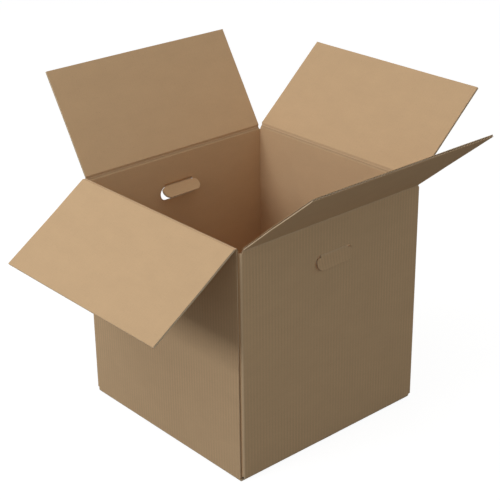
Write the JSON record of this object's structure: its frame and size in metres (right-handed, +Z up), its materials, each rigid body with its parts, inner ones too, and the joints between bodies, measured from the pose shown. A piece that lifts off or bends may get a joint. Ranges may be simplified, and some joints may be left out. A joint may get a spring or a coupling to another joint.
{
  "type": "cardboard box",
  "caption": "Open regular slotted carton of plain corrugated board with hinged top flaps and die-cut hand holes.",
  "frame": {"origin": "centre of the box's base, on the floor", "axes": "+Z up; +X towards the right wall, which has a hand hole; -Y towards the front wall, whose flap hangs lowest"},
  "size_m": [0.7316, 0.7945, 0.6489],
  "materials": {
    "kraft_board": "plain uncoated kraft liner on corrugated board",
    "paper_tape": "plain brown gummed paper"
  },
  "bodies": {
    "box": {"box_body": "kraft_board", "bottom_tape": "paper_tape"},
    "front_top_flap": {"front_top_flap": "kraft_board"},
    "right_top_flap": {"right_top_flap": "kraft_board"},
    "back_top_flap": {"back_top_flap": "kraft_board"},
    "left_top_flap": {"left_top_flap": "kraft_board"},
    "right_hand_hole_tab": {"right_hand_hole_tab": "kraft_board"},
    "left_hand_hole_tab": {"left_hand_hole_tab": "kraft_board"}
  },
  "joints": [
    {"name": "front_top_flap_fold", "type": "hinge", "parent": "box", "child": "front_top_flap", "pos_m": [0, -0.225, 0.46515], "axis": [1, 0, 0], "range_deg": [-214, 51]},
    {"name": "right_top_flap_fold", "type": "hinge", "parent": "box", "child": "right_top_flap", "pos_m": [0.225, 0, 0.46095], "axis": [0, 1, 0], "range_deg": [-140.3, 124.7]},
    {"name": "back_top_flap_fold", "type": "hinge", "parent": "box", "child": "back_top_flap", "pos_m": [0, 0.225, 0.46515], "axis": [-1, 0, 0], "range_deg": [-137.8, 127.2]},
    {"name": "left_top_flap_fold", "type": "hinge", "parent": "box", "child": "left_top_flap", "pos_m": [-0.225, 0, 0.46095], "axis": [0, -1, 0], "range_deg": [-121.5, 143.5]},
    {"name": "right_hand_hole_tab_fold", "type": "hinge", "parent": "box", "child": "right_hand_hole_tab", "pos_m": [0.225, 0, 0.39615], "axis": [0, 1, 0], "range_deg": [-18, 107]},
    {"name": "left_hand_hole_tab_fold", "type": "hinge", "parent": "box", "child": "left_hand_hole_tab", "pos_m": [-0.225, 0, 0.39615], "axis": [0, -1, 0], "range_deg": [-78, 47]}
  ]
}
